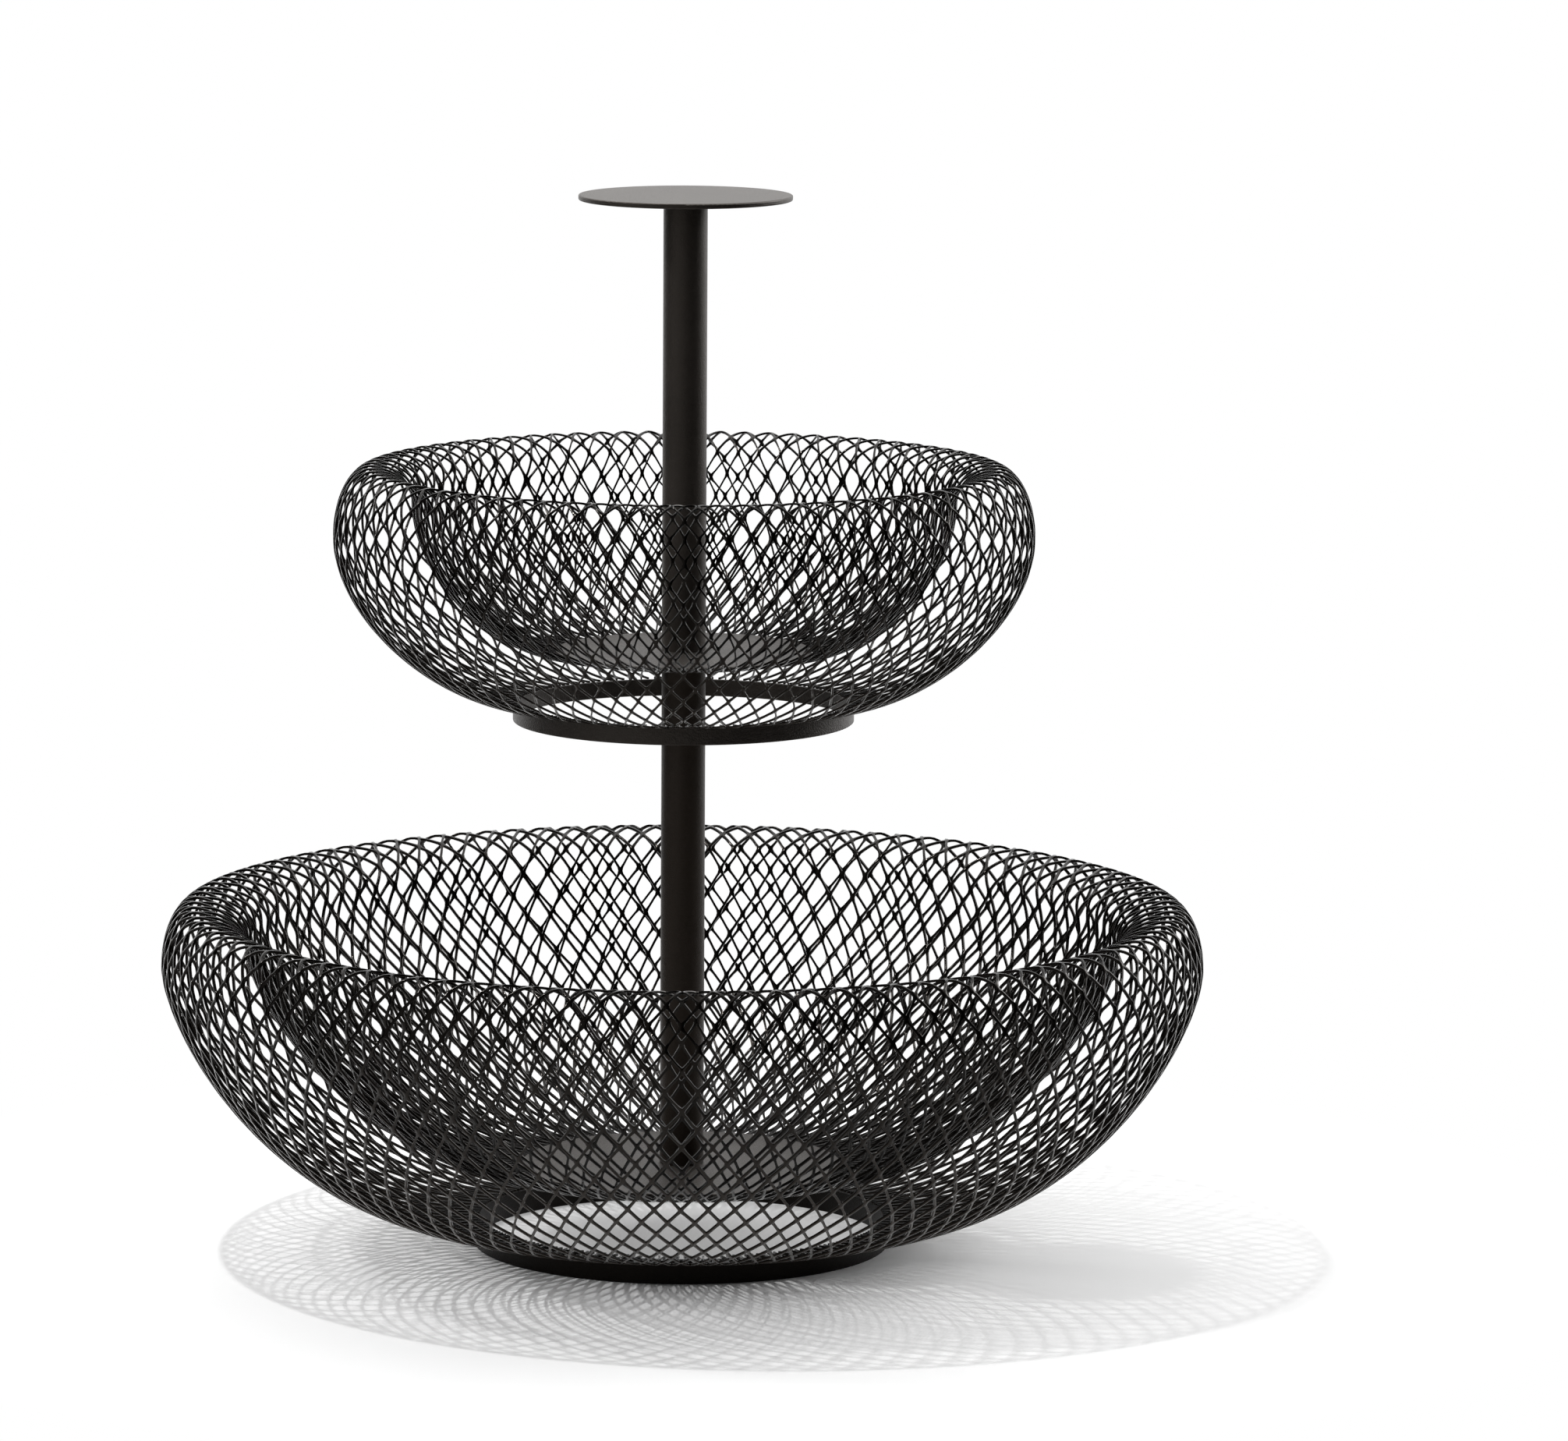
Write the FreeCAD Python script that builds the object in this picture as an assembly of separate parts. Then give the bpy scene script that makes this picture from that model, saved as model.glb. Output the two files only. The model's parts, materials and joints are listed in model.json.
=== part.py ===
"""Two-tier wire basket stand: two double-walled mesh bowls on one screwed column, under a disc handle.

All lengths are in millimetres. The origin is on the floor, at the middle of the lower foot ring, and +Z
is up along the column. Each bowl's mesh is a thin shell with the true outline of the mesh, and a plain
grid of openings stands for its many small ones.
"""
import FreeCAD
import Part
import math
import os

# Lower basket
lower_basket_diameter = 300.0
lower_rim_height = 99.0
lower_rim_width = 24.0
lower_crown_inset = 8.3
lower_widest_drop = 17.0
lower_lip_drop = 11.0
lower_mesh_thickness = 1.2
lower_plate_diameter = 92.0
lower_plate_rise = 23.0
lower_ring_diameter = 120.0
lower_ring_height = 7.0

# Upper basket, with heights counted from the underside of its own ring
upper_basket_diameter = 201.0
upper_rim_height = 73.3
upper_rim_width = 22.4
upper_crown_inset = 10.4
upper_widest_drop = 19.7
upper_lip_drop = 9.7
upper_mesh_thickness = 1.0
upper_plate_diameter = 73.4
upper_plate_rise = 20.3
upper_ring_diameter = 97.8
upper_ring_height = 4.8

# Both baskets
plate_thickness = 1.5
plate_edge_radius = 0.3
ring_thickness = 1.5
ring_edge_radius = 0.3
weld_gap = 0.05

# Bends of the mesh, as shares of the wall's own width and height
lower_foot_bend_share = 0.69
lower_side_bend_share = 0.20
lower_inside_bend_share = 0.26
lower_plate_bend_share = 0.535
upper_foot_bend_share = 0.46
upper_side_bend_share = 0.47
upper_inside_bend_share = 0.50
upper_plate_bend_share = 0.44
quarter_round_share = 0.5523

# Grid of openings in each mesh: rows on the outer wall, both sides of the rim and the inner wall
lower_opening_rows = (5, 1, 1, 4)
upper_opening_rows = (4, 1, 1, 3)
openings_around = 24
opening_width_share = 0.74
opening_height_share = 0.72
opening_overrun = 1.0
steps_per_opening = 4

# Column and handle
column_diameter = 12.6
column_wall = 1.0
lower_tube_length = 148.0
upper_tube_length = 129.0
handle_diameter = 61.0
handle_thickness = 1.5
handle_edge_radius = 0.4

# Screwed joints
thread_diameter = 6.0
thread_clearance = 0.05
press_clearance = 0.02
screw_hole_clearance = 0.3
bush_length = 15.0
bush_chamfer = 0.5
stud_upper_engagement = 13.0
stud_lower_engagement = 10.0
stud_chamfer = 0.6
screw_engagement = 12.0
screw_head_diameter = 11.0
screw_head_height = 3.4
screw_head_radius = 1.0
screw_socket_flats = 4.0
screw_socket_depth = 2.0
washer_diameter = 16.0
washer_thickness = 1.2

# How far from level an edge may lie and still count as level, and a face from a plane through the axis
level_tolerance = 0.01
angle_tolerance = 0.01

# Heights of the faces that the pieces stack on
lower_plate_top = lower_plate_rise
upper_plate_bottom = lower_plate_top + lower_tube_length
upper_plate_top = upper_plate_bottom + plate_thickness
upper_ring_bottom = upper_plate_top - upper_plate_rise
handle_bottom = upper_plate_top + upper_tube_length
lower_plate_bottom = lower_plate_top - plate_thickness
washer_bottom = lower_plate_bottom - washer_thickness

# Radii that several pieces share
thread_radius = thread_diameter / 2
bush_bore_radius = thread_radius + thread_clearance
screw_hole_radius = thread_radius + screw_hole_clearance
column_radius = column_diameter / 2
column_bore_radius = column_radius - column_wall
bush_radius = column_bore_radius - press_clearance


def at(radius, height):
    """A point of an outline that is turned about the column's axis."""
    return FreeCAD.Vector(radius, 0, height)


def turned(edges, angle=360):
    """The solid that a closed outline makes when it is turned about the column's axis."""
    face = Part.Face(Part.Wire(Part.__sortEdges__(edges)))
    return face.revolve(FreeCAD.Vector(0, 0, 0), FreeCAD.Vector(0, 0, 1), angle)


def turned_on(shape, angle):
    """A copy of a shape, moved around the column's axis."""
    copy = shape.copy()
    copy.rotate(FreeCAD.Vector(0, 0, 0), FreeCAD.Vector(0, 0, 1), angle)
    return copy


def line(start, end):
    return Part.LineSegment(start, end).toShape()


def hollow_cylinder(outer_radius, inner_radius, bottom, height):
    outer = Part.makeCylinder(outer_radius, height, at(0, bottom))
    return outer.cut(Part.makeCylinder(inner_radius, height, at(0, bottom)))


def round_edges_at(solid, height):
    """The round edges of a solid that lie level at one height."""
    level = []
    for edge in solid.Edges:
        box = edge.BoundBox
        is_level = max(abs(box.ZMin - height), abs(box.ZMax - height)) < level_tolerance
        if is_level and isinstance(edge.Curve, Part.Circle):
            level.append(edge)
    return level


def bend(start, start_handle, end_handle, end):
    curve = Part.BezierCurve()
    curve.setPoles([start, start_handle, end_handle, end])
    return curve


def mesh_bends(basket, shift=0.0):
    """The middle line of a mesh, from its seat on the ring, over the rim, to the plate's edge.

    A shift gives the line that lies that far outside the middle line where each bend starts and ends.
    """
    half = basket["mesh_thickness"] / 2
    foot_height = basket["bottom"] + basket["ring_height"] + half
    crown_height = basket["bottom"] + basket["rim_height"] - half
    plate_height = basket["bottom"] + basket["plate_rise"] - plate_thickness / 2
    widest_radius = basket["diameter"] / 2 - half
    foot = at(basket["ring_diameter"] / 2 - ring_thickness, foot_height - shift)
    widest = at(widest_radius + shift, crown_height - basket["widest_drop"])
    crown = at(widest_radius - basket["crown_inset"], crown_height + shift)
    lip = at(widest_radius - basket["rim_width"] - shift, crown_height - basket["lip_drop"])
    plate = at(basket["plate_diameter"] / 2 + weld_gap, plate_height + shift)

    foot_handle = at(foot.x + basket["foot_bend_share"] * (widest.x - foot.x), foot.z)
    side_handle = at(widest.x, widest.z - basket["side_bend_share"] * (widest.z - foot.z))
    outer_rise = at(widest.x, widest.z + quarter_round_share * (crown.z - widest.z))
    outer_over = at(crown.x + quarter_round_share * (widest.x - crown.x), crown.z)
    inner_over = at(crown.x - quarter_round_share * (crown.x - lip.x), crown.z)
    inner_rise = at(lip.x, lip.z + quarter_round_share * (crown.z - lip.z))
    inside_handle = at(lip.x, lip.z - basket["inside_bend_share"] * (lip.z - plate.z))
    plate_handle = at(plate.x + basket["plate_bend_share"] * (lip.x - plate.x), plate.z)

    return [
        bend(foot, foot_handle, side_handle, widest),
        bend(widest, outer_rise, outer_over, crown),
        bend(crown, inner_over, inner_rise, lip),
        bend(lip, inside_handle, plate_handle, plate),
    ]


def both_sides(curve, place, reach):
    """The points on both sides of a bend, at a place along it from 0 to 1."""
    point = curve.value(place)
    along = curve.tangent(place)[0]
    across = at(along.z, -along.x)
    return point + across * reach, point - across * reach


def mesh_outline(basket):
    """The closed outline of a mesh's wall: the outer wall, the round rim and the inner wall."""
    half = basket["mesh_thickness"] / 2
    sides = [mesh_bends(basket, half), mesh_bends(basket, -half)]
    edges = [curve.toShape() for bends in sides for curve in bends]
    edges.append(line(*[bends[0].value(0) for bends in sides]))
    edges.append(line(*[bends[-1].value(1) for bends in sides]))
    return edges


def opening_block(curve, start, end, reach, angle):
    """A block through the wall, as wide as one opening, between two places on a bend."""
    outside = []
    inside = []
    for step in range(steps_per_opening + 1):
        place = start + (end - start) * step / steps_per_opening
        outer, inner = both_sides(curve, place, reach)
        outside.append(outer)
        inside.insert(0, inner)
    outline = Part.makePolygon(outside + inside + outside[:1])
    return turned(outline.Edges, angle)


def mesh_shell(basket):
    """One mesh: a sector of the wall with one opening in each row, repeated all round."""
    bends = mesh_bends(basket)
    sector_angle = 360 / openings_around
    opening_angle = opening_width_share * sector_angle
    reach = basket["mesh_thickness"] / 2 + opening_overrun
    blocks = []
    for curve, rows in zip(bends, basket["opening_rows"]):
        for row in range(rows):
            start = (row + (1 - opening_height_share) / 2) / rows
            end = start + opening_height_share / rows
            block = opening_block(curve, start, end, reach, opening_angle)
            blocks.append(turned_on(block, (sector_angle - opening_angle) / 2))
    sector = turned(mesh_outline(basket), sector_angle).cut(blocks)
    faces = []
    for face in sector.Faces:
        centre = face.CenterOfMass
        angle = math.degrees(math.atan2(centre.y, centre.x))
        if min(abs(angle), abs(angle - sector_angle)) > angle_tolerance:
            faces.append(face)
    skin = Part.makeCompound(faces)
    wall = Part.makeCompound([turned_on(skin, number * sector_angle) for number in range(openings_around)])
    wall.sewShape()
    return Part.makeSolid(wall.Shells[0])


def basket_plate(basket):
    """A flat round plate that the mesh is welded to, with its rim eased and a screw hole."""
    radius = basket["plate_diameter"] / 2
    top = basket["bottom"] + basket["plate_rise"]
    bottom = top - plate_thickness
    plate = Part.makeCylinder(radius, plate_thickness, at(0, bottom))
    plate = plate.makeFillet(plate_edge_radius, round_edges_at(plate, bottom) + round_edges_at(plate, top))
    return plate.cut(Part.makeCylinder(screw_hole_radius, plate_thickness, at(0, bottom)))


def foot_ring(basket):
    """A low hoop of flat strip, with its lower edges eased."""
    radius = basket["ring_diameter"] / 2
    hoop = hollow_cylinder(radius, radius - ring_thickness, basket["bottom"], basket["ring_height"])
    return hoop.makeFillet(ring_edge_radius, round_edges_at(hoop, basket["bottom"]))


def column_tube(bottom, length):
    return hollow_cylinder(column_radius, column_bore_radius, bottom, length)


def bush(bottom):
    """A threaded plug in the end of a tube, with the mouths of its bore eased."""
    body = hollow_cylinder(bush_radius, bush_bore_radius, bottom, bush_length)
    mouths = []
    for height in (bottom, bottom + bush_length):
        for edge in round_edges_at(body, height):
            if edge.Curve.Radius < bush_radius - bush_chamfer:
                mouths.append(edge)
    return body.makeChamfer(bush_chamfer, mouths)


def joining_stud():
    """The stud that stands out of the upper tube, through the upper plate, into the lower tube."""
    bottom = upper_plate_bottom - stud_lower_engagement
    length = stud_lower_engagement + plate_thickness + stud_upper_engagement
    stud = Part.makeCylinder(thread_radius, length, at(0, bottom))
    ends = round_edges_at(stud, bottom) + round_edges_at(stud, bottom + length)
    return stud.makeChamfer(stud_chamfer, ends)


def base_screw():
    """A screw with a low round head and a six-sided socket, from below the lower plate."""
    head_bottom = washer_bottom - screw_head_height
    head = Part.makeCylinder(screw_head_diameter / 2, screw_head_height, at(0, head_bottom))
    head = head.makeFillet(screw_head_radius, round_edges_at(head, head_bottom))
    corner_radius = screw_socket_flats / math.sqrt(3)
    corners = []
    for number in range(7):
        angle = math.radians(60 * number)
        across = corner_radius * math.cos(angle)
        deep = corner_radius * math.sin(angle)
        corners.append(FreeCAD.Vector(across, deep, head_bottom))
    socket = Part.Face(Part.makePolygon(corners)).extrude(at(0, screw_socket_depth))
    shank_length = washer_thickness + plate_thickness + screw_engagement
    shank = Part.makeCylinder(thread_radius, shank_length, at(0, washer_bottom))
    shank = shank.makeChamfer(stud_chamfer, round_edges_at(shank, washer_bottom + shank_length))
    return head.fuse(shank).cut(socket).removeSplitter()


def base_washer():
    return hollow_cylinder(washer_diameter / 2, screw_hole_radius, washer_bottom, washer_thickness)


def handle_disc():
    disc = Part.makeCylinder(handle_diameter / 2, handle_thickness, at(0, handle_bottom))
    edges = round_edges_at(disc, handle_bottom) + round_edges_at(disc, handle_bottom + handle_thickness)
    return disc.makeFillet(handle_edge_radius, edges)


def handle_spigot():
    """The solid plug in the upper tube's top end that the disc is fixed to."""
    plug = Part.makeCylinder(bush_radius, bush_length, at(0, handle_bottom - bush_length))
    return plug.makeChamfer(bush_chamfer, round_edges_at(plug, handle_bottom - bush_length))


lower_basket = {
    "bottom": 0.0,
    "diameter": lower_basket_diameter,
    "rim_height": lower_rim_height,
    "rim_width": lower_rim_width,
    "crown_inset": lower_crown_inset,
    "widest_drop": lower_widest_drop,
    "lip_drop": lower_lip_drop,
    "mesh_thickness": lower_mesh_thickness,
    "plate_diameter": lower_plate_diameter,
    "plate_rise": lower_plate_rise,
    "ring_diameter": lower_ring_diameter,
    "ring_height": lower_ring_height,
    "opening_rows": lower_opening_rows,
    "foot_bend_share": lower_foot_bend_share,
    "side_bend_share": lower_side_bend_share,
    "inside_bend_share": lower_inside_bend_share,
    "plate_bend_share": lower_plate_bend_share,
}
upper_basket = {
    "bottom": upper_ring_bottom,
    "diameter": upper_basket_diameter,
    "rim_height": upper_rim_height,
    "rim_width": upper_rim_width,
    "crown_inset": upper_crown_inset,
    "widest_drop": upper_widest_drop,
    "lip_drop": upper_lip_drop,
    "mesh_thickness": upper_mesh_thickness,
    "plate_diameter": upper_plate_diameter,
    "plate_rise": upper_plate_rise,
    "ring_diameter": upper_ring_diameter,
    "ring_height": upper_ring_height,
    "opening_rows": upper_opening_rows,
    "foot_bend_share": upper_foot_bend_share,
    "side_bend_share": upper_side_bend_share,
    "inside_bend_share": upper_inside_bend_share,
    "plate_bend_share": upper_plate_bend_share,
}

pieces = {
    "lower_foot_ring": foot_ring(lower_basket),
    "lower_basket_mesh": mesh_shell(lower_basket),
    "lower_basket_plate": basket_plate(lower_basket),
    "base_washer": base_washer(),
    "base_screw": base_screw(),
    "lower_column_tube": column_tube(lower_plate_top, lower_tube_length),
    "lower_tube_bottom_bush": bush(lower_plate_top),
    "lower_tube_top_bush": bush(upper_plate_bottom - bush_length),
    "upper_foot_ring": foot_ring(upper_basket),
    "upper_basket_mesh": mesh_shell(upper_basket),
    "upper_basket_plate": basket_plate(upper_basket),
    "joining_stud": joining_stud(),
    "upper_column_tube": column_tube(upper_plate_top, upper_tube_length),
    "upper_tube_bush": bush(upper_plate_top),
    "handle_spigot": handle_spigot(),
    "handle_disc": handle_disc(),
}

os.makedirs("parts", exist_ok=True)
for name, shape in pieces.items():
    solid = shape.Solids[0]
    print(name, len(shape.Solids), solid.isValid(), round(solid.Volume, 1))
    solid.exportStep(os.path.join("parts", name + ".step"))
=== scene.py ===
"""Looks of the two-tier wire basket stand, dressed over its solids.

All lengths are in metres, in the frame of the solids: the floor is z = 0 and +Z runs up the column.
Each bowl's mesh is one lattice of strands that part and join like expanded metal. It is laid out flat
and then bent to the outline of the mesh's solid.
"""

import bpy
import json
import math
import numpy as np
from mathutils import Matrix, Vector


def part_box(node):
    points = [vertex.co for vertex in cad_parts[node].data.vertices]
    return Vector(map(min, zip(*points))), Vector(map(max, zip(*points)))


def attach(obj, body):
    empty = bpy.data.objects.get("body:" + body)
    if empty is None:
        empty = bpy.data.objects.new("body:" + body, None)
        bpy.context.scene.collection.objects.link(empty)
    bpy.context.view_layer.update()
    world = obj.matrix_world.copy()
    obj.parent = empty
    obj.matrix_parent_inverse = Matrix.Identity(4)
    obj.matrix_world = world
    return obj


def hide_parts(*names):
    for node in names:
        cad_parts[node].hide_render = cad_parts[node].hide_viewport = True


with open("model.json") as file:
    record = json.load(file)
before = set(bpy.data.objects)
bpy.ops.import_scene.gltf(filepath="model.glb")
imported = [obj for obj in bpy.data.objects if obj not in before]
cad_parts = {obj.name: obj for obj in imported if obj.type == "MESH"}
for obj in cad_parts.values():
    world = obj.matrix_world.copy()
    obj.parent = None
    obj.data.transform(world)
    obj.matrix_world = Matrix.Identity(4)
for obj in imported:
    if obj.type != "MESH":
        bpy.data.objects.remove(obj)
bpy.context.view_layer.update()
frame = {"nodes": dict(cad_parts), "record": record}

mm = 0.001

# Outline and strands of each mesh, with the bends as shares of the wall's own width and height
lower_bowl = {
    "name": "lower",
    "body": "base",
    "rim_width": 24.0 * mm,
    "crown_inset": 8.3 * mm,
    "widest_drop": 17.0 * mm,
    "lip_drop": 11.0 * mm,
    "foot_bend_share": 0.69,
    "side_bend_share": 0.20,
    "inside_bend_share": 0.26,
    "plate_bend_share": 0.535,
    "mesh_thickness": 1.2 * mm,
    "cells_around": 104,
    "strand_length": 7.6 * mm,
    "foot_stretch": 1.75 * mm,
    "strand_width": 0.64 * mm,
    "strand_depth": 0.70 * mm,
    "bond_height": 2.0 * mm,
    "seed": 11,
}
upper_bowl = {
    "name": "upper",
    "body": "upper_basket",
    "rim_width": 22.4 * mm,
    "crown_inset": 10.4 * mm,
    "widest_drop": 19.7 * mm,
    "lip_drop": 9.7 * mm,
    "foot_bend_share": 0.46,
    "side_bend_share": 0.47,
    "inside_bend_share": 0.50,
    "plate_bend_share": 0.44,
    "mesh_thickness": 1.0 * mm,
    "cells_around": 78,
    "strand_length": 7.2 * mm,
    "foot_stretch": 0.8 * mm,
    "strand_width": 0.46 * mm,
    "strand_depth": 0.56 * mm,
    "bond_height": 2.0 * mm,
    "seed": 23,
}
quarter_round_share = 0.5523
outline_steps = 300
foot_stretch_reach = 48.0 * mm
ring_thickness = 1.5 * mm
weld_gap = 0.05 * mm

# Form of a strand between two bonds, and how unevenly the bonds lie
strand_shares = (1 / 3, 1 / 2, 2 / 3)
strand_rounding_share = 0.2
cut_share = 0.47
face_roundness_share = 0.6
node_scatter = 0.10 * mm
row_wave = 0.25 * mm
wave_counts = (3, 2)
wave_shifts = (0.9, 0.37)

# Camera, found from the outlines of both bowls in the photograph
photo_width = 2011
photo_height = 1848
focal_pixels = 10790.0
axis_pixel = 876.5
camera_place = (0.0, -2.3846, 0.5105)
camera_pitch = 8.55
camera_roll = 0.25
sensor_width = 36.0

# Floor, which passes into white around the object; shares of white paint light into its shadow and the
# ring's inside
floor_radius = 0.34
floor_corners = 96
floor_white = 0.95
white_from = 0.175
white_to = 0.28
painted_ring_light_share = 0.30
shadow_lift_share = 0.20
shadow_lift_reach = 0.05

# Light of the surroundings: a spread is how far a ray points that way where the light starts and is full
room_light = 0.01
back_light = 2.2
back_light_from = (0.25, 0.80, 0.55)
back_light_spread = (0.35, 0.95)
fill_light = 0.45
fill_light_from = (-0.66, -0.70, 0.28)
fill_light_spread = (0.5, 1.0)
background_from = (0.0, 1.0, 0.0)
background_spread = (0.5, 0.9)

# Lamps, all aimed at one point of the column
lamp_aim = (0.0, 0.0, 0.12)
lamps = {
    "key_lamp": {"place": (-0.46, 0.17, 1.55), "size": 0.04, "power": 10.0},
    "side_lamp": {"place": (1.0, 0.5, 0.6), "size": 0.5, "power": 4.0},
    "rim_lamp": {"place": (-1.06, 0.36, 1.08), "size": 0.20, "power": 6.5},
}

# Powder coats: clouds of two colours, and a grain that lies between smooth and rough
coats = {
    "mesh_coat": {
        "dark": (0.0016, 0.0013, 0.0011),
        "light": (0.0036, 0.0030, 0.0025),
        "patch_size": 9 * mm,
        "grain_size": 0.35 * mm,
        "grain_depth": 0.005 * mm,
        "smooth": 0.10,
        "rough": 0.18,
        "specular": 0.15,
    },
    "black_coat": {
        "dark": (0.017, 0.0150, 0.0132),
        "light": (0.032, 0.0285, 0.0255),
        "patch_size": 12 * mm,
        "grain_size": 0.45 * mm,
        "grain_depth": 0.20 * mm,
        "smooth": 0.28,
        "rough": 0.44,
        "specular": 0.5,
    },
    # Painted shade: a darker, less shiny copy of the coat for the lower foot ring, which stands in shade
    # near the floor
    "shaded_ring_coat": {
        "dark": (0.0020, 0.0017, 0.0014),
        "light": (0.0045, 0.0038, 0.0032),
        "patch_size": 12 * mm,
        "grain_size": 0.35 * mm,
        "grain_depth": 0.12 * mm,
        "smooth": 0.28,
        "rough": 0.44,
        "specular": 0.12,
    },
    "column_coat": {
        "dark": (0.028, 0.0245, 0.021),
        "light": (0.050, 0.0435, 0.038),
        "patch_size": 14 * mm,
        "grain_size": 0.32 * mm,
        "grain_depth": 0.14 * mm,
        "smooth": 0.28,
        "rough": 0.46,
        "specular": 0.5,
    },
    # Painted shade: a darker copy of the column coat for the lower tube, which lies in the shade of the
    # bowls
    "shaded_low_column_coat": {
        "dark": (0.013, 0.0090, 0.0062),
        "light": (0.023, 0.0165, 0.0120),
        "patch_size": 14 * mm,
        "grain_size": 0.32 * mm,
        "grain_depth": 0.14 * mm,
        "smooth": 0.28,
        "rough": 0.46,
        "specular": 0.3,
    },
}
warm_shine = (1.0, 0.88, 0.78)
# Painted bounce light: the mesh coat turns paler towards the foot on the outside of the outer wall
floor_bounce_colour = (0.040, 0.034, 0.029)
floor_bounce_reach = (0.05, 0.7)

# Plated steel of the hidden hardware
steel_dark = (0.36, 0.36, 0.35)
steel_light = (0.52, 0.52, 0.50)
steel_mark_size = 0.6 * mm
steel_smooth = 0.28
steel_rough = 0.45

# Detail and roughness of each noise, and where most values of a noise lie
cloud_noise = (3.0, 0.6)
grain_noise = (2.0, 0.5)
mark_noise = (4.0, 0.6)
noise_low = 0.3
noise_high = 0.7

# Solids whose coat differs from that of the other solids in their slot: darker copies of it, as painted
# shade
own_coats = {"lower_foot_ring": "shaded_ring_coat", "lower_column_tube": "shaded_low_column_coat"}


def bend(start, start_handle, end_handle, end):
    """Points of one cubic bend in the plane of radius and height, without its last point."""
    t = np.linspace(0, 1, outline_steps, endpoint=False)[:, None]
    u = 1 - t
    start, start_handle, end_handle, end = (np.array(p) for p in (start, start_handle, end_handle, end))
    return u ** 3 * start + 3 * u ** 2 * t * start_handle + 3 * u * t ** 2 * end_handle + t ** 3 * end


def outline(bowl):
    """Middle line of a mesh from its ring, over the rim, to its plate: radius, height and way along it."""
    mesh_low, mesh_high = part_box(bowl["name"] + "_basket_mesh")
    ring_low, ring_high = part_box(bowl["name"] + "_foot_ring")
    plate_low, plate_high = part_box(bowl["name"] + "_basket_plate")
    half = bowl["mesh_thickness"] / 2
    foot = (ring_high.x - ring_thickness, ring_high.z + half)
    crown_height = mesh_high.z - half
    widest = (mesh_high.x - half, crown_height - bowl["widest_drop"])
    crown = (widest[0] - bowl["crown_inset"], crown_height)
    lip = (widest[0] - bowl["rim_width"], crown_height - bowl["lip_drop"])
    plate = (plate_high.x + weld_gap, (plate_low.z + plate_high.z) / 2)

    side_height = widest[1] - foot[1]
    side_width = widest[0] - foot[0]
    inside_height = lip[1] - plate[1]
    inside_width = lip[0] - plate[0]
    outer_rise = quarter_round_share * (crown[1] - widest[1])
    outer_over = quarter_round_share * (widest[0] - crown[0])
    inner_over = quarter_round_share * (crown[0] - lip[0])
    inner_rise = quarter_round_share * (crown[1] - lip[1])
    points = np.concatenate([
        bend(foot, (foot[0] + bowl["foot_bend_share"] * side_width, foot[1]),
             (widest[0], widest[1] - bowl["side_bend_share"] * side_height), widest),
        bend(widest, (widest[0], widest[1] + outer_rise), (crown[0] + outer_over, crown[1]), crown),
        bend(crown, (crown[0] - inner_over, crown[1]), (lip[0], lip[1] + inner_rise), lip),
        bend(lip, (lip[0], lip[1] - bowl["inside_bend_share"] * inside_height),
             (plate[0] + bowl["plate_bend_share"] * inside_width, plate[1]), plate),
        [plate],
    ])
    steps = np.hypot(*np.diff(points, axis=0).T)
    way = np.concatenate([[0], np.cumsum(steps)])
    return points[:, 0], points[:, 1], way


def row_ways(bowl, radius, way):
    """Ways along the outline of each row of bonds: a strand keeps its length, so wide rows lie closer."""
    stretch = bowl["foot_stretch"] * np.clip(1 - way / foot_stretch_reach, 0, 1)
    half_cell = np.pi * radius / bowl["cells_around"]
    rise = np.sqrt((bowl["strand_length"] + stretch) ** 2 - half_cell ** 2)
    count = np.concatenate([[0], np.cumsum(np.diff(way) * 2 / (rise[1:] + rise[:-1]))])
    rows = int(round(count[-1]))
    count *= rows / count[-1]
    return np.interp(np.arange(rows) + 0.5, count, way)


def swing(share):
    """How far a strand has swung over from one bond to the next at a share of its rise, and how steeply."""
    near = np.minimum(share, 1 - share)
    steep = 1 / (1 - strand_rounding_share)
    start = steep * near ** 2 / (2 * strand_rounding_share)
    straight = steep * (near - strand_rounding_share / 2)
    half = np.where(near < strand_rounding_share, start, straight)
    return np.where(share < 0.5, half, 1 - half), steep * np.minimum(near / strand_rounding_share, 1)


class Sheet:
    """A sheet laid flat, by angle around the bowl and way along its outline, with faces and free edges."""

    def __init__(self):
        self.angles = []
        self.ways = []
        self.faces = []
        self.edges = []
        self.count = 0

    def corners(self, angle, way):
        self.angles.append(angle)
        self.ways.append(way)
        self.count += len(angle)
        return np.arange(self.count - len(angle), self.count)

    def face(self, low_left, low_right, high_right, high_left):
        self.faces.append(np.stack([low_left, low_right, high_right, high_left], -1))

    def free_edge(self, start, end):
        self.edges.append(np.stack([start, end], -1))

    def thickened(self, depth):
        """Angles, ways, layers and faces of the sheet as a closed body of that depth."""
        outer = np.concatenate(self.faces)
        edge = np.concatenate(self.edges)
        side = np.stack([edge[:, 1], edge[:, 0], edge[:, 0] + self.count, edge[:, 1] + self.count], -1)
        faces = np.concatenate([outer, outer[:, ::-1] + self.count, side])
        layer = np.repeat([depth / 2, -depth / 2], self.count)
        return np.tile(np.concatenate(self.angles), 2), np.tile(np.concatenate(self.ways), 2), layer, faces


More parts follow.
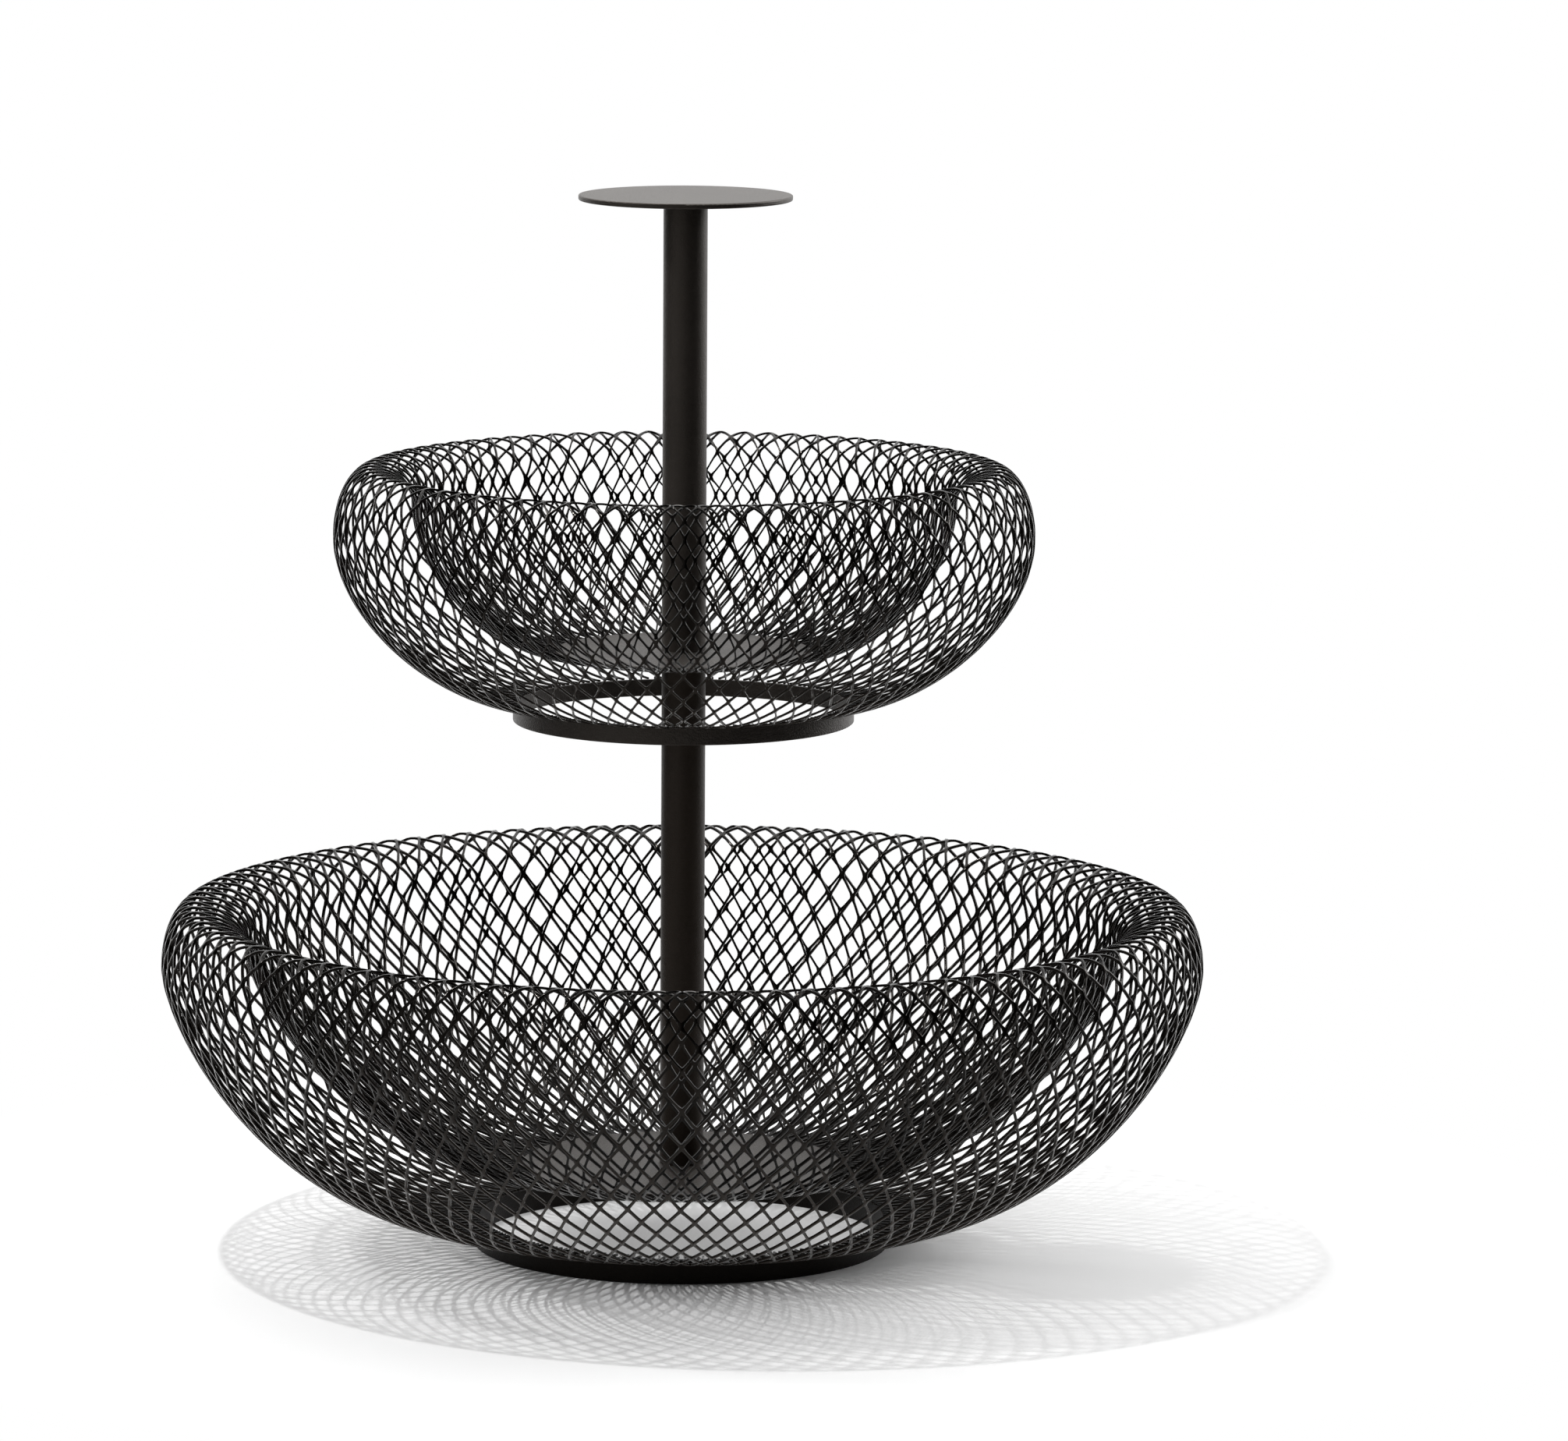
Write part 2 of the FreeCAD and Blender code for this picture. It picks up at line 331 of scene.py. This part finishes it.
def bond_rows(bowl, radius, way):
    """Angle, way and radius of every bond, with a row past each end for the cut strands to point at."""
    inside = row_ways(bowl, radius, way)
    rows_at = np.concatenate([[-inside[0]], inside, [2 * way[-1] - inside[-1]]])
    cells = bowl["cells_around"]
    number = np.arange(len(rows_at))[:, None]
    scatter = np.random.default_rng(bowl["seed"])
    angle = (np.arange(cells)[None, :] + 0.5 * (number % 2)) * 2 * np.pi / cells
    wave = row_wave
    for waves, shift in zip(wave_counts, wave_shifts):
        wave = wave * np.sin(waves * angle + shift * number)
    node_way = rows_at[:, None] + wave + node_scatter * scatter.normal(size=angle.shape)
    node_radius = np.interp(node_way, way, radius)
    angle = angle + node_scatter * scatter.normal(size=angle.shape) / node_radius
    return angle, node_way, node_radius


def add_bonds(sheet, bowl, angle, way, radius):
    """The corners of one row of bonds: its middle, its upper and lower notch, and its two free sides."""
    width = bowl["strand_width"] / radius
    return {
        "middle": sheet.corners(angle, way),
        "notch_up": sheet.corners(angle, way + bowl["bond_height"] / 2),
        "notch_down": sheet.corners(angle, way - bowl["bond_height"] / 2),
        -1: sheet.corners(angle - width, way),
        1: sheet.corners(angle + width, way),
    }


def add_strands(sheet, bowl, low, high, low_bonds, high_bonds, lean):
    """The strands from one row of bonds up to the next that lean left (-1) or right (1).

    low and high hold the angle, way and radius of the bonds at both ends of each strand. Where a row of
    bonds is missing, the strands are cut off half way and closed.
    """
    half = bowl["strand_width"] / 2
    rise = high["way"] - low["way"]
    bond_share = np.mean(bowl["bond_height"] / 2 / rise)
    shares = list(strand_shares)
    if low_bonds is None:
        shares = [cut_share] + [s for s in shares if s > 0.5]
    if high_bonds is None:
        shares = [s for s in shares if s < 0.5] + [0.5]
    start = low["angle"] + lean * half / low["radius"]
    reach = high["angle"] - low["angle"]
    reach = (reach + np.pi) % (2 * np.pi) - np.pi - lean * half * (1 / low["radius"] + 1 / high["radius"])

    def border(share, side):
        """New corners along the side that faces the lower bond (-1) or the upper one (1)."""
        over, steep = swing(share)
        radius = low["radius"] + share * (high["radius"] - low["radius"])
        spread = half / radius * np.sqrt(1 + (reach * radius * steep / rise) ** 2)
        return sheet.corners(start + over * reach + side * lean * spread, low["way"] + share * rise)

    low_side = []
    high_side = []
    if low_bonds is not None:
        low_side += [low_bonds["middle"], low_bonds["notch_up"]]
        high_side += [low_bonds[lean], border(bond_share, 1)]
    for share in shares:
        low_side.append(border(share, -1))
        high_side.append(border(share, 1))
    if high_bonds is not None:
        low_side += [border(1 - bond_share, -1), high_bonds[-lean]]
        high_side += [high_bonds["notch_down"], high_bonds["middle"]]

    left, right = (high_side, low_side) if lean < 0 else (low_side, high_side)
    steps = len(left) - 1
    for step in range(steps):
        sheet.face(left[step], right[step], right[step + 1], left[step + 1])
        joined_below = low_bonds is not None and step == 0
        joined_above = high_bonds is not None and step == steps - 1
        if not (joined_below and lean < 0 or joined_above and lean > 0):
            sheet.free_edge(right[step], right[step + 1])
        if not (joined_below and lean > 0 or joined_above and lean < 0):
            sheet.free_edge(left[step + 1], left[step])
    if low_bonds is None:
        sheet.free_edge(left[0], right[0])
    if high_bonds is None:
        sheet.free_edge(right[-1], left[-1])


def rolled(values, row, lean):
    """The next row's values, shifted so that each stands where the strand from this row's bond ends."""
    to_right = int(lean > 0)
    shift = -to_right if row % 2 else 1 - to_right
    return {key: np.roll(value, shift) for key, value in values.items()}


def lattice(bowl, radius, way):
    """The whole mesh laid flat, as a closed body of strands that part and join."""
    angle, node_way, node_radius = bond_rows(bowl, radius, way)
    sheet = Sheet()
    rows = len(angle)
    places = []
    for row in range(rows):
        places.append({"angle": angle[row], "way": node_way[row], "radius": node_radius[row]})
    bonds = [None] * rows
    for row in range(1, rows - 1):
        bonds[row] = add_bonds(sheet, bowl, **places[row])
    for row in range(rows - 1):
        for lean in (-1, 1):
            high = rolled(places[row + 1], row, lean)
            high_bonds = bonds[row + 1]
            if high_bonds is not None:
                high_bonds = rolled(high_bonds, row, lean)
            add_strands(sheet, bowl, places[row], high, bonds[row], high_bonds, lean)
    return sheet.thickened(bowl["strand_depth"])


def mesh_from(name, points, faces):
    mesh = bpy.data.meshes.new(name)
    mesh.from_pydata(points.tolist(), [], faces.tolist())
    mesh.update()
    return mesh


def placed(name, data):
    piece = bpy.data.objects.new(name, data)
    bpy.context.scene.collection.objects.link(piece)
    return piece


def round_faces(mesh, points, faces):
    """Shades each face of a strand as slightly rounded across its width."""
    mesh.shade_smooth()
    corner = points[faces]
    flat = np.cross(corner[:, 2] - corner[:, 0], corner[:, 3] - corner[:, 1])
    flat /= np.linalg.norm(flat, axis=1)[:, None]
    smooth = np.zeros_like(points)
    for place in range(4):
        np.add.at(smooth, faces[:, place], flat)
    smooth /= np.linalg.norm(smooth, axis=1)[:, None]
    normals = flat[:, None, :] * (1 - face_roundness_share) + smooth[faces] * face_roundness_share
    normals /= np.linalg.norm(normals, axis=2)[:, :, None]
    mesh.normals_split_custom_set(normals.reshape(-1, 3))


def strand_mesh(bowl):
    """One bowl's mesh: the flat lattice bent to the outline of the mesh's solid.

    Its share for the painted bounce light rises on the outside from 0 where the bowl is widest to 1 at the
    foot.
    """
    radius, height, way = outline(bowl)
    angle, flat_way, layer, faces = lattice(bowl, radius, way)
    inside = np.clip(flat_way, 0, way[-1])
    before = np.minimum(flat_way, 0)
    lean_radius = np.interp(inside, way, np.gradient(radius, way))
    lean_height = np.interp(inside, way, np.gradient(height, way))
    bent_radius = np.interp(inside, way, radius) + before + layer * lean_height
    bent_height = np.interp(inside, way, height) - layer * lean_radius
    points = np.stack([bent_radius * np.cos(angle), bent_radius * np.sin(angle), bent_height], -1)
    name = bowl["name"] + "_mesh_strands"
    mesh = mesh_from(name, points, faces)
    # Mask of the painted bounce light: the outside of the outer wall, from where the bowl is widest to the
    # foot
    floor_bounce_share = np.clip(1 - flat_way / way[np.argmax(radius)], 0, 1) * (layer > 0)
    mesh.attributes.new("floor_bounce_share", "FLOAT", "POINT").data.foreach_set("value", floor_bounce_share)
    round_faces(mesh, points, faces)
    piece = placed(name, mesh)
    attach(piece, bowl["body"])
    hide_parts(bowl["name"] + "_basket_mesh")
    return piece


def node(tree, kind, **values):
    """A new shader node with its inputs set by name, where spaces are written as underscores."""
    made = tree.nodes.new(kind)
    for key, value in values.items():
        made.inputs[key.replace("_", " ")].default_value = value
    return made


def math_node(tree, operation, one, other):
    made = tree.nodes.new("ShaderNodeMath")
    made.operation = operation
    tree.links.new(one, made.inputs[0])
    tree.links.new(other, made.inputs[1])
    return made.outputs[0]


def larger(tree, one, other):
    return math_node(tree, "MAXIMUM", one, other)


def product(tree, one, other):
    return math_node(tree, "MULTIPLY", one, other)


def eased(tree, value, spread, low_result=0.0, high_result=1.0):
    """A smooth step of a value from one result to another, over a spread from low to high."""
    made = node(tree, "ShaderNodeMapRange", From_Min=spread[0], From_Max=spread[1],
                To_Min=low_result, To_Max=high_result)
    made.interpolation_type = "SMOOTHSTEP"
    tree.links.new(value, made.inputs["Value"])
    return made.outputs["Result"]


def noise(tree, size, detail, roughness):
    """A noise of that size in the object's own coordinates."""
    place = tree.nodes.new("ShaderNodeTexCoord")
    made = node(tree, "ShaderNodeTexNoise", Scale=1 / size, Detail=detail, Roughness=roughness)
    tree.links.new(place.outputs["Object"], made.inputs["Vector"])
    return made.outputs["Fac"]


def from_noise(tree, value, low_result, high_result):
    """A number that follows a noise from one result to another."""
    made = node(tree, "ShaderNodeMapRange", From_Min=noise_low, From_Max=noise_high,
                To_Min=low_result, To_Max=high_result)
    tree.links.new(value, made.inputs["Value"])
    return made.outputs["Result"]


def colour_mix(tree, factor, first, second):
    """A colour between two others by a factor. The first may be another node's output."""
    mix = tree.nodes.new("ShaderNodeMix")
    mix.data_type = "RGBA"
    tree.links.new(factor, mix.inputs["Factor"])
    if isinstance(first, tuple):
        mix.inputs["A"].default_value = (*first, 1)
    else:
        tree.links.new(first, mix.inputs["A"])
    mix.inputs["B"].default_value = (*second, 1)
    return mix.outputs["Result"]


def shader_mix(tree, factor, first, second, output):
    """Shows one shader, and another by a factor."""
    mix = tree.nodes.new("ShaderNodeMixShader")
    tree.links.new(factor, mix.inputs[0])
    tree.links.new(first.outputs[0], mix.inputs[1])
    tree.links.new(second.outputs[0], mix.inputs[2])
    tree.links.new(mix.outputs[0], tree.nodes[output].inputs["Surface"])


def blank_material(name):
    material = bpy.data.materials.new(name)
    material.use_nodes = True
    return material, material.node_tree, material.node_tree.nodes["Principled BSDF"]


def powder_coat(name, coat):
    """Black powder coat: cloudy colour, a fine grain that breaks up its shine, uneven gloss."""
    material, tree, shader = blank_material(name)
    link = tree.links.new
    clouds = noise(tree, coat["patch_size"], *cloud_noise)
    grain = noise(tree, coat["grain_size"], *grain_noise)
    bump = node(tree, "ShaderNodeBump", Strength=1.0, Distance=coat["grain_depth"])
    link(grain, bump.inputs["Height"])
    link(colour_mix(tree, clouds, coat["dark"], coat["light"]), shader.inputs["Base Color"])
    link(from_noise(tree, grain, coat["smooth"], coat["rough"]), shader.inputs["Roughness"])
    link(bump.outputs["Normal"], shader.inputs["Normal"])
    shader.inputs["Specular IOR Level"].default_value = coat["specular"]
    shader.inputs["Specular Tint"].default_value = (*warm_shine, 1)
    return material


def paint_floor_bounce(material):
    """Paints light thrown up by a pale table into a mesh's coat: it turns paler down the outside of its
    outer wall.
    """
    tree = material.node_tree
    shader = tree.nodes["Principled BSDF"]
    coat = shader.inputs["Base Color"].links[0].from_socket
    share = tree.nodes.new("ShaderNodeAttribute")
    share.attribute_name = "floor_bounce_share"
    factor = eased(tree, share.outputs["Fac"], floor_bounce_reach)
    tree.links.new(colour_mix(tree, factor, coat, floor_bounce_colour), shader.inputs["Base Color"])


def zinc_steel(name):
    """Plain plated steel of the hidden screw, washer, stud and bushes, with faint turning marks."""
    material, tree, shader = blank_material(name)
    link = tree.links.new
    marks = noise(tree, steel_mark_size, *mark_noise)
    link(colour_mix(tree, marks, steel_dark, steel_light), shader.inputs["Base Color"])
    link(from_noise(tree, marks, steel_smooth, steel_rough), shader.inputs["Roughness"])
    shader.inputs["Metallic"].default_value = 1.0
    return material


def dress(piece, material):
    piece.data.materials.clear()
    piece.data.materials.append(material)


def towards(tree, direction):
    """How far a ray to the surroundings points in a direction."""
    place = tree.nodes.new("ShaderNodeTexCoord")
    made = tree.nodes.new("ShaderNodeVectorMath")
    made.operation = "DOT_PRODUCT"
    made.inputs[1].default_value = direction
    tree.links.new(place.outputs["Generated"], made.inputs[0])
    return made.outputs["Value"]


def studio_world():
    """Soft light from behind and a weaker one from the front left, with a white background.

    Reflections show that white only behind the stand.
    """
    world = bpy.data.worlds.new("studio")
    bpy.context.scene.world = world
    world.use_nodes = True
    tree = world.node_tree
    light = tree.nodes["Background"]
    light.inputs["Color"].default_value = (1, 1, 1, 1)
    back = eased(tree, towards(tree, back_light_from), back_light_spread, room_light, back_light)
    fill = eased(tree, towards(tree, fill_light_from), fill_light_spread, room_light, fill_light)
    tree.links.new(larger(tree, back, fill), light.inputs["Strength"])
    white = node(tree, "ShaderNodeBackground", Color=(1, 1, 1, 1), Strength=1.0)
    path = tree.nodes.new("ShaderNodeLightPath")
    mirrored = larger(tree, path.outputs["Is Glossy Ray"], path.outputs["Is Transmission Ray"])
    behind = eased(tree, towards(tree, background_from), background_spread)
    seen = larger(tree, path.outputs["Is Camera Ray"], product(tree, mirrored, behind))
    shader_mix(tree, seen, light, white, "World Output")


def floor_material():
    """Pale floor that takes the shadow near the object and passes into the white background around it.

    Where it is seen, itself or in a reflection, some white is added to the shadow and inside the ring as
    painted light.
    """
    material, tree, shader = blank_material("pale_floor")
    shader.inputs["Base Color"].default_value = (floor_white, floor_white, floor_white, 1)
    shader.inputs["Roughness"].default_value = 1.0
    shader.inputs["Specular IOR Level"].default_value = 0.0
    place = tree.nodes.new("ShaderNodeTexCoord")
    reach = tree.nodes.new("ShaderNodeVectorMath")
    reach.operation = "LENGTH"
    tree.links.new(place.outputs["Object"], reach.inputs[0])
    distance = reach.outputs["Value"]
    ring_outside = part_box("lower_foot_ring")[1].x
    ring_inside = ring_outside - ring_thickness
    far = eased(tree, distance, (white_from, white_to))
    # Painted light: white inside the ring, and a lift that lightens the shadow beyond it
    inside = eased(tree, distance, (ring_inside, ring_outside), painted_ring_light_share, 0.0)
    lift_reach = (ring_outside, ring_outside + shadow_lift_reach)
    lift = eased(tree, distance, lift_reach, 0.0, shadow_lift_share)
    path = tree.nodes.new("ShaderNodeLightPath")
    mirrored = larger(tree, path.outputs["Is Glossy Ray"], path.outputs["Is Transmission Ray"])
    seen = larger(tree, path.outputs["Is Camera Ray"], mirrored)
    white = node(tree, "ShaderNodeEmission", Strength=1.0)
    white_share = larger(tree, larger(tree, far, inside), lift)
    shader_mix(tree, product(tree, seen, white_share), shader, white, "Material Output")
    return material


def floor():
    turn = np.linspace(0, 2 * np.pi, floor_corners, endpoint=False)
    points = np.stack([floor_radius * np.cos(turn), floor_radius * np.sin(turn), 0 * turn], -1)
    piece = placed("floor", mesh_from("floor", points, np.arange(floor_corners)[None, :]))
    dress(piece, floor_material())


def lamp(name, place, size, power):
    """A square lamp that faces the middle of the stand."""
    data = bpy.data.lights.new(name, "AREA")
    data.size = size
    data.energy = power
    piece = placed(name, data)
    piece.location = place
    aim = np.array(lamp_aim) - np.array(place)
    pitch = math.atan2(math.hypot(aim[0], aim[1]), -aim[2])
    piece.rotation_euler = (pitch, 0, math.atan2(-aim[0], aim[1]))


def camera():
    data = bpy.data.cameras.new("photo_camera")
    data.sensor_fit = "HORIZONTAL"
    data.sensor_width = sensor_width
    data.lens = focal_pixels / photo_width * sensor_width
    data.shift_x = (photo_width / 2 - axis_pixel) / photo_width
    piece = placed("photo_camera", data)
    roll = Matrix.Rotation(math.radians(camera_roll), 4, "Z")
    tilt = Matrix.Rotation(math.radians(90 - camera_pitch), 4, "X")
    piece.matrix_world = Matrix.Translation(camera_place) @ tilt @ roll
    bpy.context.scene.camera = piece


bpy.context.scene.view_settings.view_transform = "Standard"
camera()
studio_world()
floor()
for name, values in lamps.items():
    lamp(name, **values)

finishes = {name: powder_coat(name, coat) for name, coat in coats.items()}
finishes["plain_steel"] = zinc_steel("plain_steel")
# Painted bounce light on the outer walls of both meshes
paint_floor_bounce(finishes["mesh_coat"])

for bowl in (lower_bowl, upper_bowl):
    dress(strand_mesh(bowl), finishes["mesh_coat"])
for subpart in frame["record"]["subparts"]:
    if subpart["material_slot"] != "mesh_coat":
        coat_name = own_coats.get(subpart["node"], subpart["material_slot"])
        dress(frame["nodes"][subpart["node"]], finishes[coat_name])
